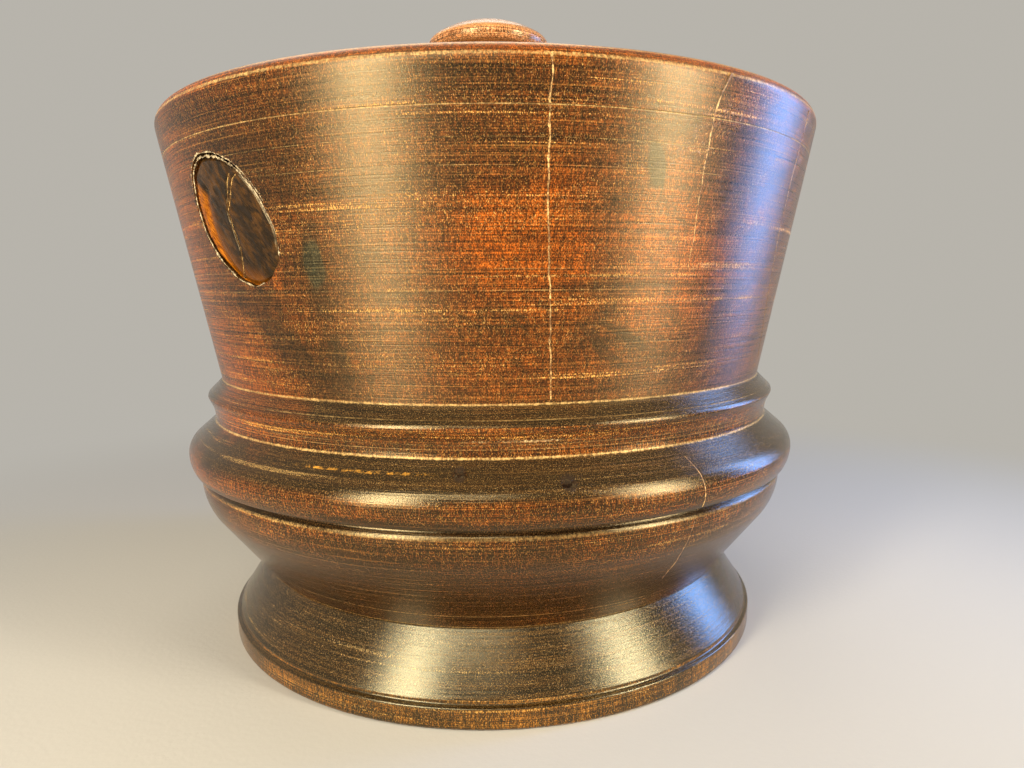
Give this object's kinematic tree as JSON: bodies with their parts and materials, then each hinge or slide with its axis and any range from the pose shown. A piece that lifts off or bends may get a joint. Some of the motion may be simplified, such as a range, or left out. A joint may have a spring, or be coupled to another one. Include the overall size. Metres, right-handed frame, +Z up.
{
  "type": "tobacco jar",
  "caption": "Turned wooden tobacco jar with a moulded waist, a flaring foot, a tin liner, a loose presser disc and an inset lid with a button knob.",
  "frame": {"origin": "centre of the foot's base, on the surface that the jar stands on", "axes": "+Z up along the turning axis; -Y is the front, with the knot in the wall at the front left"},
  "size_m": [0.1488, 0.1488, 0.142],
  "materials": {
    "body_wood": "waxed and burnished red-brown hardwood with dark streaks and pale filled cracks",
    "foot_wood": "waxed olive-brown hardwood with golden pore flecks",
    "knot_wood": "dark dead knot with a cream bark line and an orange edge",
    "lid_wood": "waxed and burnished red-brown hardwood",
    "knob_wood": "waxed warm brown hardwood",
    "presser_wood": "bare, smooth brown hardwood",
    "liner_tin": "dull grey tinned sheet"
  },
  "bodies": {
    "jar": {"foot": "foot_wood", "jar_body": "body_wood", "knot": "knot_wood", "liner": "liner_tin"},
    "presser": {"presser": "presser_wood", "presser_knob": "knob_wood"},
    "lid": {"lid": "lid_wood", "lid_knob": "knob_wood"}
  },
  "joints": [
    {"name": "presser_lift", "type": "slide", "parent": "jar", "child": "presser", "axis": [0, 0, 1], "range_m": [0, 0.053]},
    {"name": "lid_lift", "type": "slide", "parent": "jar", "child": "lid", "axis": [0, 0, 1], "range_m": [0, 0.06]}
  ]
}
